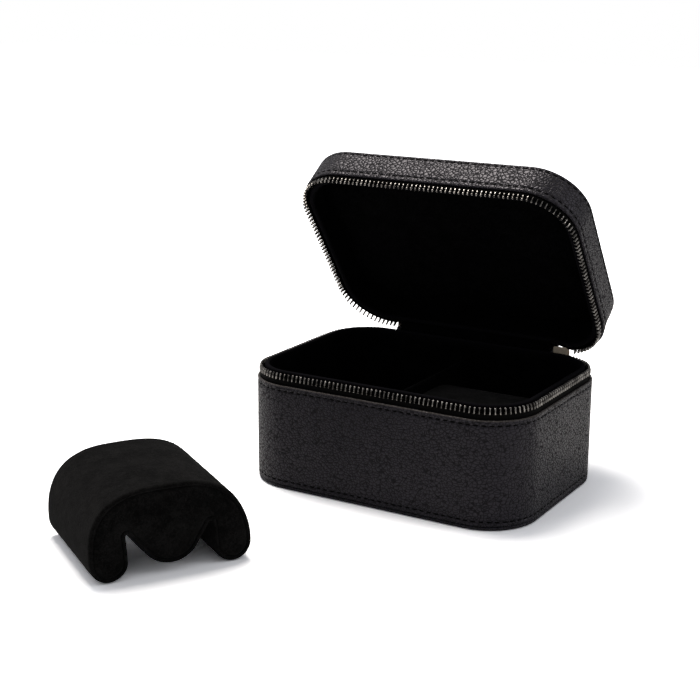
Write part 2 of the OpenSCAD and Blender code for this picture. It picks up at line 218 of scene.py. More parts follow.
# carries verts and edges on by a move at each step, or round an axis, and gives the last ones
def carry(bm, geom, steps, move=(0, 0, 0), centre=(0, 0, 0), angle=0.0, axis=(0, 0, 1), **more):
    return bmesh.ops.spin(
        bm, geom=geom, cent=centre, axis=axis, angle=angle, steps=steps, dvec=move, **more
    )["geom_last"]


# a closed outline carried straight on, both ends capped
def drawAlong(points, move, steps):
    bm = bmesh.new()
    verts, start = addLine(bm, points)
    grown = carry(bm, verts + start, steps, [value / steps for value in move])
    for rim in (start, only(BMEdge, grown)):
        bmesh.ops.contextual_create(bm, geom=rim)
    faceOutward(bm)
    return bm


sweep = {"run": 24, "weld": 0.001}


# a stretch of a sweep, in short runs, because spin slows down as its mesh grows
def sweepRun(whole, section, closed, steps, centre=(0, 0, 0), angle=0.0, move=(0, 0, 0)):
    for begun in range(0, steps, sweep["run"]):
        run = min(sweep["run"], steps - begun)
        share = run / steps
        part = bmesh.new()
        verts, edges = addLine(part, section, closed)
        carry(part, verts + edges, run, Vector(move) / steps, centre, angle * share)
        mesh = toMesh(part, "run")
        whole.from_mesh(mesh)
        bpy.data.meshes.remove(mesh)
        turn = turnAbout(centre, angle * share, "Z")
        section = [turn @ point + Vector(move) * share for point in section]
    return section


# draws the profile, pairs of outward distance and height, across the back, carries it
# clockwise round the outline and fills what is still open
def sweepRound(profile, step=0.5, fromX=0.0, toX=0.0, closed=True, bend=None):
    section = [Vector((fromX, halfDepth + out, height)) for out, height in profile]
    headings = ((1, 0, 0), (0, -1, 0), (-1, 0, 0), (0, 1, 0), (1, 0, 0))
    straights = (sideX - fromX, 2 * sideY, 2 * sideX, 2 * sideY, sideX + toX)
    bendSteps = round(cornerRadius * quarter / (bend or step))
    bm = bmesh.new()
    for heading, straight, middle in zip(headings, straights, corners + [None]):
        move = Vector(heading) * straight
        section = sweepRun(bm, section, closed, max(1, round(straight / step)), move=move)
        if middle is not None:
            section = sweepRun(bm, section, closed, bendSteps, centre=middle, angle=-quarter)
    bmesh.ops.remove_doubles(bm, verts=bm.verts, dist=sweep["weld"])
    rims = [edge for edge in bm.edges if edge.is_boundary]
    if rims:
        bmesh.ops.holes_fill(bm, edges=rims, sides=0)
    faceOutward(bm)
    return bm


# UV in metres: along the outline and up
def mapAlong(bm):
    layer = bm.loops.layers.uv.new("along")
    for face in bm.faces:
        spots = [walked(loop.vert.co.x, loop.vert.co.y)[0] for loop in face.loops]
        wraps = max(spots) - min(spots) > outlineLength / 2
        for loop, spot in zip(face.loops, spots):
            if wraps and spot < outlineLength / 2:
                spot += outlineLength
            loop[layer].uv = (spot / 1000, loop.vert.co.z / 1000)


# the lid's rim gives way at its back right corner, where the zip is still joined
rimGive = {
    "most": 2.2,
    "x": (47, 10),  # where it starts and how far it takes to rise
    "y": (0.8 * sideY, 20),
    "z": (lidEdge + walls["seam"] + 1, 6),
}


def giveWay(bm):
    (fromX, overX), (fromY, overY), (fromZ, overZ) = (rimGive[axis] for axis in "xyz")
    for vert in bm.verts:
        lower = smooth((vert.co.y - fromY) / overY) * smooth((fromZ - vert.co.z) / overZ)
        vert.co.y += rimGive["most"] * smooth((vert.co.x - fromX) / overX) * lower


# a piece of the lid is modelled on the closed case, and swung open here
def finishPiece(name, bm, material, body, stands=(), sharp=35):
    if body == "lid":
        giveWay(bm)
        bm.transform(swing)
    bm.transform(Matrix.Scale(0.001, 4))
    mesh = toMesh(bm, name)
    mesh.materials.append(material)
    mesh.shade_smooth()
    mesh.set_sharp_from_angle(angle=radians(sharp))
    piece = addThing(name, mesh)
    if body:
        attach(piece, body)
    if stands:
        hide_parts(*stands)
    return piece


# finishes
def newMaterial(name, values):
    material = bpy.data.materials.new(name)
    material.use_nodes = True
    for key, value in values.items():
        material.node_tree.nodes["Principled BSDF"].inputs[key].default_value = value
    return material


def addNode(tree, kind, inputs=None, **settings):
    made = tree.nodes.new("ShaderNode" + kind)
    for key, value in settings.items():
        setattr(made, key, value)
    for key, value in (inputs or {}).items():
        if isinstance(value, bpy.types.NodeSocket):
            tree.links.new(value, made.inputs[key])
        else:
            made.inputs[key].default_value = value
    return made


def placeIn(material):
    return addNode(material.node_tree, "TexCoord").outputs["Object"]


# the helpers below build in the tree that their first socket belongs to
def plus(first, second):
    return addNode(first.id_data, "Math", {0: first, 1: second}, operation="ADD").outputs[0]


def times(first, second):
    return addNode(first.id_data, "Math", {0: first, 1: second}, operation="MULTIPLY").outputs[0]


def vectorMath(how, first, inputs=None):
    return addNode(first.id_data, "VectorMath", {0: first, **(inputs or {})}, operation=how).outputs


def noiseIn(place, scale, detail, out="Fac", **more):
    inputs = {"Vector": place, "Scale": scale, "Detail": detail, **more}
    return addNode(place.id_data, "TexNoise", inputs).outputs[out]


def blendColours(share, dark, light):
    ends = [end if isinstance(end, bpy.types.NodeSocket) else (*end, 1) for end in (dark, light)]
    return addNode(share.id_data, "Mix", {0: share, 6: ends[0], 7: ends[1]}, data_type="RGBA").outputs[2]


def remap(value, low, high, newLow=0.0, newHigh=1.0):
    ends = {"From Min": low, "From Max": high, "To Min": newLow, "To Max": newHigh}
    kind = {"interpolation_type": "SMOOTHSTEP"}
    return addNode(value.id_data, "MapRange", {"Value": value, **ends}, **kind).outputs[0]


# bump is its height, strength and depth in metres
def dressShader(material, colour, bump=None, rough=None):
    tree = material.node_tree
    inputs = tree.nodes["Principled BSDF"].inputs
    tree.links.new(colour, inputs["Base Color"])
    if rough:
        tree.links.new(rough, inputs["Roughness"])
    if bump:
        height, strength, depth = bump
        made = addNode(tree, "Bump", {"Height": height, "Strength": strength, "Distance": depth})
        tree.links.new(made.outputs[0], inputs["Normal"])
    return material


leatherLook = {
    # crease: painted shade in the creases between the pebbles
    "crease": (0.0004, 0.0004, 0.0005),
    "pebble": (0.0033, 0.0028, 0.0058),
    "worn": (0.0058, 0.0051, 0.0088),
    # edge: painted highlight along the base band's folded top edge
    "edge": (0.042, 0.037, 0.033),
    "pebbleSize": 1.65,  # mm
    "depth": 0.22,  # mm
    "stretch": (0.85, 0.8, 1.12),
    "slant": -38,  # degrees
    "warpScale": 150,
    "warp": 0.0024,  # metres
    "fineScale": 1500,
    "broadScale": 38,
    "specular": 0.42,
    "tint": (0.93, 0.88, 1.0, 1),
    "roughness": (0.36, 0.9),  # on a pebble and in a crease
}


# pebbled leather, with painted shade in its creases, and above the given height a painted highlight along
# the folded edge
def makeLeather(name, look, edgeHighlightHeight=None):
    material = newMaterial(name, {"Specular IOR Level": look["specular"], "Specular Tint": look["tint"]})
    tree = material.node_tree
    place = placeIn(material)
    warp = noiseIn(place, look["warpScale"], 1, "Color")
    shift = vectorMath("SUBTRACT", warp, {1: (0.5, 0.5, 0.5)})[0]
    push = vectorMath("SCALE", shift, {"Scale": look["warp"]})[0]
    slant = addNode(tree, "Mapping", {
        "Vector": vectorMath("ADD", place, {1: push})[0],
        "Rotation": (0, radians(look["slant"]), 0),
        "Scale": look["stretch"],
    })
    cells = {"Vector": slant.outputs[0], "Scale": 1000 / look["pebbleSize"]}
    gaps = addNode(tree, "TexVoronoi", cells, feature="DISTANCE_TO_EDGE").outputs["Distance"]
    fine = noiseIn(place, look["fineScale"], 2)
    broad = noiseIn(place, look["broadScale"], 3)
    top = remap(gaps, 0.01, 0.16)
    dome = plus(times(top, 0.6), remap(gaps, 0.0, 0.5, 0.0, 0.5))
    grain = plus(dome, times(fine, 0.12))
    skin = blendColours(remap(broad, 0.35, 0.7), look["pebble"], look["worn"])
    # painted shade: the creases are coloured darker than the pebble tops
    skin = blendColours(top, look["crease"], skin)
    # painted highlight: lighter colour along the base band's folded top edge, above the given height
    if edgeHighlightHeight:
        height = addNode(tree, "SeparateXYZ", {"Vector": place}).outputs["Z"]
        above = remap(height, edgeHighlightHeight - 0.0004, edgeHighlightHeight + 0.0003)
        skin = blendColours(above, skin, look["edge"])
    gloss, matt = look["roughness"]
    rough = remap(plus(top, times(broad, 0.14)), 0.1, 1.1, matt, gloss)
    return dressShader(material, skin, (grain, 1.0, look["depth"] / 1000), rough)


suedeLook = {
    "low": (0.0002, 0.0002, 0.0003),
    "high": (0.002, 0.002, 0.0024),
    # lip: painted sheen, a lighter colour along the lining's rounded lip
    "lip": (0.0042, 0.004, 0.0052),
    "nap": 0.5,  # mm
    "mottle": 9,  # mm
    "sheen": 0.006,
    "specular": 0.015,
}


def makeSuede(name, look):
    material = newMaterial(name, {
        "Specular IOR Level": look["specular"],
        "Roughness": 0.95,
        "Sheen Weight": look["sheen"],
        "Sheen Roughness": 0.6,
        "Sheen Tint": (0.5, 0.5, 0.52, 1),
    })
    place = placeIn(material)
    nap = noiseIn(place, 1000 / look["nap"], 4)
    fluff = noiseIn(place, 350 / look["nap"], 3, Distortion=1.5)
    mottle = noiseIn(place, 1000 / look["mottle"], 5, Roughness=0.65)
    pile = plus(times(nap, 0.6), fluff)
    shade = plus(times(fluff, 0.6), times(mottle, 0.6))
    shade = remap(plus(shade, times(nap, 0.3)), 0.6, 0.95)
    suede = blendColours(shade, look["low"], look["high"])
    # painted sheen: the lighter lip colour is laid over the suede where the lip attribute is set
    lip = addNode(material.node_tree, "Attribute", attribute_name="lip").outputs["Fac"]
    return dressShader(material, blendColours(lip, suede, look["lip"]), (pile, 0.5, 0.0004))


def makeMetal(name, dark, light, rough, metallic=1.0):
    material = newMaterial(name, {"Metallic": metallic})
    place = placeIn(material)
    patches = noiseIn(place, 210, 3)
    fine = noiseIn(place, 3200, 2)
    colour = blendColours(remap(patches, 0.35, 0.65), dark, light)
    scuffs = remap(fine, 0.3, 0.7, rough - 0.06, rough + 0.08)
    return dressShader(material, colour, (fine, 0.2, 0.00005), scuffs)


def brighter(colour, factor):
    return tuple(value * factor for value in colour)


def makeWeave(name, colour):
    material = newMaterial(name, {"Specular IOR Level": 0.06, "Roughness": 0.85})
    tree = material.node_tree
    place = addNode(tree, "UVMap", uv_map="along").outputs[0]
    across = {"Vector": place, "Scale": 420, "Distortion": 1.2, "Detail": 1}
    ribs = addNode(tree, "TexWave", across, bands_direction="X").outputs["Fac"]
    up = {"Vector": place, "Scale": 260, "Distortion": 0.8}
    weave = times(ribs, addNode(tree, "TexWave", up, bands_direction="Y").outputs["Fac"])
    cords = blendColours(weave, colour, brighter(colour, 2.2))
    return dressShader(material, cords, (weave, 0.6, 0.0002))


def makeThread(name, colour):
    material = newMaterial(name, {"Specular IOR Level": 0.05})
    ply = noiseIn(placeIn(material), 4200, 1)
    twist = blendColours(ply, colour, brighter(colour, 2.5))
    return dressShader(material, twist, rough=remap(ply, 0.3, 0.7, 0.5, 0.7))


def makeBoard(name, dark, light):
    material = newMaterial(name, {"Specular IOR Level": 0.2, "Roughness": 0.9})
    fibre = noiseIn(placeIn(material), 900, 5)
    return dressShader(material, blendColours(fibre, dark, light), (fibre, 0.3, 0.0002))


leather = makeLeather("caseLeather", leatherLook)
# the base band's leather carries a painted highlight along its folded top edge
baseLeather = makeLeather("baseLeather", leatherLook, (baseTop - 0.5) / 1000)
pullLeather = makeLeather("pullLeather", {**leatherLook, "pebbleSize": 1.1, "depth": 0.2})
lining = makeSuede("liningSuede", suedeLook)
cushionSuede = makeSuede("cushionSuede", {
    **suedeLook,
    "low": (0.0006, 0.0006, 0.0006),
    "high": (0.007, 0.0067, 0.0068),
    "sheen": 0.025,
    "specular": 0.04,
})
teethMetal = makeMetal("gunmetalTeeth", (0.08, 0.075, 0.071), (0.36, 0.342, 0.325), 0.2)
gunmetal = makeMetal("gunmetal", (0.15, 0.13, 0.11), (0.22, 0.19, 0.165), 0.3)
sliderMetal = makeMetal("sliderMetal", (0.42, 0.36, 0.28), (0.56, 0.48, 0.38), 0.45, 0.5)
tapeCloth = makeWeave("zipTape", (0.0016, 0.0015, 0.0015))
thread = makeThread("stitchThread", (0.0003, 0.0003, 0.0003))
greyBoard = makeBoard("greyBoard", (0.05, 0.045, 0.04), (0.13, 0.12, 0.105))
print("finishes made")

# leather bands
bandLook = {
    "stitchPitch": 4.0,
    "stitchLength": 2.7,
    "threadRadius": 0.3,
    "sunk": 0.12,  # how far a thread lies below the pinched leather
    "edgeRadius": 0.8,
    "pinch": 0.2,  # how far the leather is drawn in along a stitch line
    "pinchOver": 0.75,
    "dimple": 0.34,  # and more at each stitch
    "dimpleOver": 0.42,
    "wave": 0.16,
    "waveSize": 19,
    "rowStep": 3.2,
}
stitchCount = round(outlineLength / bandLook["stitchPitch"])
stitchPitch = outlineLength / stitchCount


# heights for a band's rows, close together beside the stitch lines
def rowHeights(low, high, lines):
    beside = (-1.5, -1.05, -0.7, -0.45, -0.22, 0, 0.22, 0.45, 0.7, 1.05, 1.5)
    rows = [line + offset for line in lines for offset in beside]
    plain = round((high - low) / bandLook["rowStep"])
    for index in range(plain + 1):
        height = low + (high - low) * index / plain
        if all(abs(height - row) > 0.7 for row in rows):
            rows.append(height)
    return sorted(row for row in rows if low <= row <= high)


# draws the outer face in along its stitch lines and lets the rest wave
def dressBand(bm, lines, low, high):
    reach = bandLook["stitchLength"] / 2
    for vert in bm.verts:
        spot, out = walked(vert.co.x, vert.co.y)
        middle = Vector((*clamped(vert.co.x, vert.co.y), 0))
        if vert.co.dot(out) - out.dot(middle) < cornerRadius - 0.9:
            continue
        height = vert.co.z
        face = smooth((height - low) / 1.2) * smooth((high - height) / 0.8)
        away = abs((spot / stitchPitch) % 1 - 0.5) * stitchPitch
        mark = smooth((reach + 0.25 - away) / 0.5)
        depth = -bandLook["wave"] * face * cloud(vert.co.x, vert.co.y, height, bandLook["waveSize"])
        for line in lines:
            depth -= bandLook["pinch"] * bell(height - line, bandLook["pinchOver"])
            depth -= bandLook["dimple"] * mark * bell(height - line, bandLook["dimpleOver"])
        vert.co += out * depth


# mesh of a closed ring of verts that is extruded from spot to spot, both ends capped
def growRings(name, bm, ring, spots, sizes):
    bmesh.ops.contextual_create(bm, geom=ring)
    edges = list({edge for vert in ring for edge in vert.link_edges})
    for index in range(1, len(spots)):
        grown = bmesh.ops.extrude_edge_only(bm, edges=edges)["geom"]
        ring = only(BMVert, grown)
        edges = [edge for edge in only(BMEdge, grown) if all(vert in ring for vert in edge.verts)]
        before, after = sizes[index - 1], sizes[index]
        change = [after[axis] / before[axis] for axis in range(3)]
        bmesh.ops.scale(bm, verts=ring, vec=change, space=Matrix.Translation(-spots[index - 1]))
        bmesh.ops.translate(bm, verts=ring, vec=spots[index] - spots[index - 1])
    bmesh.ops.contextual_create(bm, geom=ring)
    faceOutward(bm)
    return toMesh(bm, name)


# a thread capsule along X, sunk (towards -Y) at both ends: share of its length, width, lift
stitchRings = ((0, 0.45, -0.2), (0.14, 1.0, 0.9), (0.5, 1.1, 1.25), (0.86, 1.0, 0.9), (1, 0.45, -0.2))


def makeStitch(length, radius):
    bm = bmesh.new()
    ring = bmesh.ops.create_circle(bm, segments=6, radius=radius * stitchRings[0][1])["verts"]
    bmesh.ops.rotate(bm, verts=ring, matrix=Matrix.Rotation(quarter, 3, "Y"))
    spots = [Vector(((share - 0.5) * length, (lift - 1.3) * radius, 0)) for share, _, lift in stitchRings]
    bmesh.ops.translate(bm, verts=ring, vec=spots[0])
    return growRings("stitch", bm, ring, spots, [(1, wide, wide) for _, wide, _ in stitchRings])


def addCopy(bm, mesh, matrix):
    copy = mesh.copy()
    copy.transform(matrix)
    bm.from_mesh(copy)
    bpy.data.meshes.remove(copy)


# rows of stitches that lie on the outline at the given heights
def sewBand(name, body, heights):
    stitch = makeStitch(bandLook["stitchLength"], bandLook["threadRadius"])
    inset = bandLook["pinch"] + bandLook["sunk"]
    bm = bmesh.new()
    for height in heights:
        for index in range(stitchCount):
            point, heading = placeAlong((index + 0.5) * stitchPitch)
            out = Vector((-sin(heading), cos(heading), 0))
            spot = point - out * inset + Vector((0, 0, height))
            addCopy(bm, stitch, Matrix.Translation(spot) @ Matrix.Rotation(heading, 4, "Z"))
    bpy.data.meshes.remove(stitch)
    finishPiece(name, bm, thread, body, sharp=60)


baseBand = {"stitchLines": (4.4, baseTop - 2.7), "panelEdge": 1.9}


def makeBaseBand():
    lines, foot = baseBand["stitchLines"], baseBand["panelEdge"]
    edge, leatherT, turnIn = bandLook["edgeRadius"], walls["leather"], walls["turnIn"]
    roll = arc(-1.15, foot / 2, foot / 2, -90, 60, 5)  # the bottom panel's own edge
    groove = [(-1.25, foot + 0.05), (-0.55, foot + 0.2), (-0.12, foot + 0.42)]
    outer = [(0, row) for row in rowHeights(foot + 0.5, baseTop - edge - 0.35, lines)]
    top = arc(-edge, baseTop - edge, edge, 0, 180, 8)
    inner = [(-leatherT, baseTop - edge - 4), (-leatherT, foot + 4), (-leatherT, leatherT)]
    turned = [(-turnIn, leatherT), (-turnIn, 0)]
    bm = sweepRound(roll + groove + outer + top + inner + turned)
    dressBand(bm, lines, foot, baseTop)
    finishPiece("baseBand", bm, baseLeather, "base", ["base_leather_band"])
    sewBand("baseBandStitches", "base", lines)


lidBand = {"stitchLines": (2.9, 15.9), "fold": 2.2}


def makeLidBand():
    lines = [lidEdge + line for line in lidBand["stitchLines"]]
    fold, edge, leatherT = lidBand["fold"], bandLook["edgeRadius"], walls["leather"]
    outer = [(0, row) for row in rowHeights(lidEdge + edge + 0.35, lidTop - fold, lines)]
    corner = arc(-fold, lidTop - fold, fold, 9, 90, 6)
    turned = [(-walls["turnIn"], lidTop), (-walls["turnIn"], lidTop - leatherT)]
    inner = [(-leatherT, lidTop - leatherT), (-leatherT, lidEdge + 5)]
    low = arc(-edge, lidEdge + edge, edge, 180, 360, 8)
    bm = sweepRound(outer + corner + turned + inner + low)
    dressBand(bm, lines, lidEdge, lidTop - 1)
    finishPiece("lidBand", bm, leather, "lid", ["lid_leather_band"])
    sewBand("lidBandStitches", "lid", lines)


panel = {"gap": 0.15, "groove": 0.7}


# flat panel inside the turned-in leather, its face at the given height
def makePanel(name, node, body, face, inside):
    inset = walls["turnIn"]
    side = -inset - panel["gap"]
    way = 1 if face > inside else -1
    edge = [(side, inside), (side, face - way * panel["groove"])]
    rim = [(-inset - 0.45, face - way * 0.15), (-inset - 1.2, face), (-inset - 2.4, face)]
    bm = sweepRound(edge + rim, step=1.5, closed=False)
    finishPiece(name, bm, leather, body, [node])


makeBaseBand()
makeLidBand()
makePanel("basePanel", "base_bottom_panel", "base", 0, walls["leather"])
makePanel("lidPanel", "lid_top_panel", "lid", lidTop, lidTop - walls["leather"])
print("leather bands made")

# zip
zipLook = {
    "tape": 0.8,
    "bead": 0.62,  # radius of the cord woven along the tape's edge
    "beadRise": 0.2,
    "rise": 2.6,
    "pitch": 2.45,
    "toothHeight": 3.4,
    "toothHalf": 1.05,
    "mesh": 1.6,
    "end": 3.9,
    "sliderPast": 1.2,
    "sliderLength": 8,
    "travel": 1.5,
    "room": 0.3,
    "gap": 0.2,
    "stop": 2.2,
    "stopThick": 2.3,
    "lidStart": 1.4,
    "lean": 14,  # degrees
    "leanFrom": 50,
    "leanOver": 20,
}
tapeMid = walls["leather"] + zipLook["tape"] / 2
toothHalf = zipLook["toothHalf"]
sliderX = sideX + zipLook["sliderPast"]
stopX = sliderX - zipLook["sliderLength"] / 2 - zipLook["travel"] - zipLook["room"]
rowX = stopX + zipLook["gap"]
zipLeft = sideX - zipLook["end"]
lidRowX = sliderX + zipLook["sliderLength"] / 2 + zipLook["lidStart"]
toothFoot = baseTop + zipLook["rise"]
toothTip = toothFoot + zipLook["toothHeight"]
lidToothFoot = toothTip - zipLook["mesh"] + zipLook["toothHeight"]
rowBends = 4 * (cornerRadius - tapeMid) * quarter
rowLength = (sideX - rowX) + rowBends + 4 * sideY + 2 * sideX + zipLook["end"]
toothCount = int(rowLength / zipLook["pitch"])
toothPitch = rowLength / toothCount

# height, width along the row and thickness across it, from foot to tip
toothRings = (
    (0.0, 0.78, 1.55),
    (0.3, 1.05, 2.1),
    (1.75, 1.05, 2.1),
    (2.15, 0.7, 1.45),
    (2.6, 1.02, 1.5),
    (3.1, 0.94, 1.3),
    (3.4, 0.5, 0.7),
)
octagonRadius = 0.541  # of an octagon one unit wide


def makeTooth():
    bm = bmesh.new()
    ring = bmesh.ops.create_circle(bm, segments=8, radius=octagonRadius)["verts"]
    bmesh.ops.rotate(bm, verts=ring, matrix=Matrix.Rotation(pi / 8, 3, "Z"))
    bmesh.ops.scale(bm, verts=ring, vec=(toothRings[0][1], toothRings[0][2], 1))
    spots = [Vector((0, 0, height)) for height, _, _ in toothRings]
    return growRings("tooth", bm, ring, spots, [(width, thick, 1) for _, width, thick in toothRings])


# the lid's teeth hang down, and lean outwards with the open tape along the left side
def makeTeeth(name, node, body, spots, height):
    tooth = makeTooth()
    bm = bmesh.new()
    for spot in spots:
        point, heading = placeAlong(spot, tapeMid, rowX)
        turn = Matrix.Translation(point + Vector((0, 0, height))) @ Matrix.Rotation(heading, 4, "Z")
        if body == "lid":
            share = smooth((-point.x - zipLook["leanFrom"]) / zipLook["leanOver"])
            lean = radians(zipLook["lean"]) * share
            turn = turn @ Matrix.Rotation(pi + lean, 4, "X")
        addCopy(bm, tooth, turn)
    bpy.data.meshes.remove(tooth)
    finishPiece(name, bm, teethMetal, body, [node], sharp=50)


# a tape from its sewn edge to the bead that holds the teeth
def makeTape(name, node, body, sewn, foot, fromX):
    half, bead = zipLook["tape"] / 2, zipLook["bead"]
    way, start = (1, -40) if foot > sewn else (-1, 140)
    middle = foot + way * zipLook["beadRise"] - way * bead * 0.8
    edge = arc(-tapeMid, middle, bead, start, start + 260, 10)
    profile = [(-tapeMid - way * half, sewn), (-tapeMid + way * half, sewn)] + edge
    bm = sweepRound(profile, step=2, fromX=fromX, toX=-zipLeft, bend=1.2)
    mapAlong(bm)
    finishPiece(name, bm, tapeCloth, body, [node])


def roundEdges(bm, edges, radius):
    bmesh.ops.bevel(
        bm, geom=edges, offset=radius, offset_type="OFFSET", affect="EDGES", segments=3, profile=0.5,
        material=-1,
    )


def makeStops(name, node, body, starts, low, height):
    length = zipLook["stop"]
    bm = bmesh.new()
    for start in starts:
        made = bmesh.ops.create_cube(bm, size=1)["verts"]
        middle = (start + length / 2, halfDepth - tapeMid, low + height / 2)
        bmesh.ops.scale(bm, verts=made, vec=(length, zipLook["stopThick"], height))
        bmesh.ops.translate(bm, verts=made, vec=middle)
    roundEdges(bm, bm.edges[:], 0.35)
    finishPiece(name, bm, gunmetal, body, [node])


baseStopX = stopX - zipLook["stop"]
stopHeight = (lidToothFoot - toothFoot - zipLook["room"]) / 2
firstTooth = ceil((lidRowX + toothHalf - rowX) / toothPitch)
baseSpots = [(i + 0.5) * toothPitch for i in range(toothCount)]
lidSpots = [i * toothPitch for i in range(firstTooth, toothCount)]
makeTape("baseTape", "base_zip_tape", "base", baseTop - walls["seam"], toothFoot, baseStopX)
makeTape("lidTape", "lid_zip_tape", "lid", lidEdge + walls["seam"], lidToothFoot, lidRowX)
makeTeeth("baseTeeth", "base_zip_teeth", "base", baseSpots, toothFoot)
makeTeeth("lidTeeth", "lid_zip_teeth", "lid", lidSpots, lidToothFoot)
makeStops("baseStops", "base_zip_stops", "base", (baseStopX, -zipLeft), toothFoot, stopHeight)
makeStops("lidStop", "lid_zip_stop", "lid", (-zipLeft,), lidToothFoot - stopHeight, stopHeight)
print("zip made")

# lining
liningLook = {
    "baseLip": baseTop + 6.8,
    "lidLip": baseTop + 7.2,
    "lidFlare": 0.75,
    "puff": 0.22,
    "puffSize": 17,
}
floorTop = walls["floorLining"]
lidInside = lidTop - walls["leather"] - walls["board"]


# padded suede wall between two heights, its rounded lip at the low end when it hangs in the lid
def makeLiningWall(name, node, body, foot, lip, flare):
    way = 1 if lip > foot else -1
    radius = (walls["lining"] + flare) / 2
    rows = [foot + (lip - way * radius - foot) * share / 16 for share in range(17)]
    over = arc(flare - liningIn - radius, lip - way * radius, radius, 0, way * 180, 10)[1:-1]
    outer = [(flare * smooth(1.4 - abs(lip - row) / 4) - liningIn, row) for row in rows]
    inner = [(-roomIn, row) for row in reversed(rows)]
    bm = sweepRound(outer + over + inner, step=2.4, bend=1.2)
    for vert in bm.verts:
        _, out = walked(vert.co.x, vert.co.y)
        swell = cloud(vert.co.x, vert.co.y, 1.5 * vert.co.z, liningLook["puffSize"])
        vert.co += out * liningLook["puff"] * swell * smooth(abs(vert.co.z - foot) / 4)
    # painted sheen: share of the lighter lip colour, highest along the lip
    paintedLipSheen = bm.verts.layers.float.new("lip")
    for vert in bm.verts:
        vert[paintedLipSheen] = smooth(1.3 - abs(vert.co.z - lip) / 1.4)
    finishPiece(name, bm, lining, body, [node])


def makeFloorLining():
    side = -liningIn - 0.05
    rim = [(side, floorTop - 1), (side, floorTop - 0.3), (-liningIn - 0.35, floorTop)]
    bm = sweepRound(rim + [(-liningIn - 4, floorTop)], step=3, closed=False)
    finishPiece("baseFloorLining", bm, lining, "base", ["base_lining_floor"])


divider = {"board": 1.6, "suede": 0.7, "height": 47.8, "steps": 34, "dent": 0.12, "dentSize": 15}


# suede folded over the divider's board
def makeDivider():
    outer = divider["board"] / 2 + divider["suede"]
    inner = divider["board"] / 2 + 0.02
    top = floorTop + divider["height"] - outer
    roof = top + outer - divider["suede"]
    rows = [floorTop + (top - floorTop) * share / 12 for share in range(13)]
    left = [(-outer, row) for row in rows]
    crown = arc(0, top, outer, 180, 0, 10)[1:-1]
    right = [(outer, row) for row in reversed(rows)]
    hollow = [(inner, floorTop), (inner, roof), (-inner, roof), (-inner, floorTop)]
    reach = halfDepth - roomIn
    section = [(x, -reach, z) for x, z in left + crown + right + hollow]
    bm = drawAlong(section, (0, 2 * reach, 0), divider["steps"])
    for vert in bm.verts:
        if abs(vert.co.x) > inner + 0.1:
            wave = noise.noise(Vector((vert.co.y, vert.co.z, 3)) / divider["dentSize"])
            dent = copysign(divider["dent"] * (1 + wave), vert.co.x)
            vert.co.x -= dent * smooth((reach - abs(vert.co.y)) / 6)
    finishPiece("dividerCover", bm, lining, "base", ["divider_cover"])


lidPad = {"thickness": 4, "crown": 0.9, "crownOver": 18, "roll": 1.1, "gap": 0.15}


# crowned pad under the lid's top, with a tufted-in edge
def makeLidPad():
    inset, roll = roomIn + lidPad["gap"], lidPad["roll"]
    face = lidInside - lidPad["thickness"]
    rim = face + lidPad["crown"]
    side = [(-inset, lidInside), (-inset, rim + roll)]
    edge = arc(-inset - roll, rim + roll, roll, 0, -90, 5)[1:]
    crown = [
        (-inset - roll - lidPad["crownOver"] * share, face + lidPad["crown"] * (1 - smooth(share)))
        for share in (0.12, 0.28, 0.5, 0.75, 1)
    ]
    bm = sweepRound(side + edge + crown, step=4, bend=1.5, closed=False)
    piece = finishPiece("lidPad", bm, lining, "lid", ["lid_lining_pad"])


makeLiningWall("baseLiningWall", "base_lining_wall", "base", floorTop, liningLook["baseLip"], 0)
makeLiningWall(
    "lidLiningWall", "lid_lining_wall", "lid", lidInside, liningLook["lidLip"], liningLook["lidFlare"]
)
makeFloorLining()
makeDivider()
makeLidPad()
print("lining made")

# hinge: an outer strip of leather, and a lining strip between the zip tapes
hinge = {
    "lapSteps": 8,
    "bendSteps": 12,
    "acrossSteps": 40,
    "thinEnd": 0.45,
}
outerStrip = {
    "thickness": 1.4,
    "y": halfDepth + 0.7,
    "lidShift": 0.3,
    "laps": (10, 10),  # on the base and on the lid
    "pull": 0.38,
}
innerStrip = {
    "thickness": zipLook["tape"],
    "y": halfDepth - tapeMid,
    "lidShift": -zipLook["tape"],
    "laps": (walls["seam"], walls["seam"] - 0.3),
    "pull": 0.42,
}


def swung(y, z):
    turned = swing @ Vector((0, y, z))
    return Vector((turned.y, turned.z))


# points and headings of a strip that runs up the base, across the gap and up the open lid
def hingeCourse(foot, start, end, tail, pull):
    up = Vector((0, pull))
    out = swung(hingeAt.y, hingeAt.z + pull) - Vector((hingeAt.y, hingeAt.z))
    knots = [start, start + up, end - out, end]
    laps, bends = hinge["lapSteps"], hinge["bendSteps"]
    course = [(foot.lerp(start, share / laps), up) for share in range(laps)]
    for index in range(bends + 1):
        t = index / bends
        weights = [(1 - t) ** 3, 3 * t * (1 - t) ** 2, 3 * t * t * (1 - t), t**3]
        spot = sum((w * k for w, k in zip(weights, knots)), Vector((0, 0)))
        way = 3 * (1 - t) ** 2 * up + 6 * t * (1 - t) * (knots[2] - knots[1]) + 3 * t * t * out
        course.append((spot, way))
    return course + [(end.lerp(tail, share / laps), out) for share in range(1, laps + 1)]


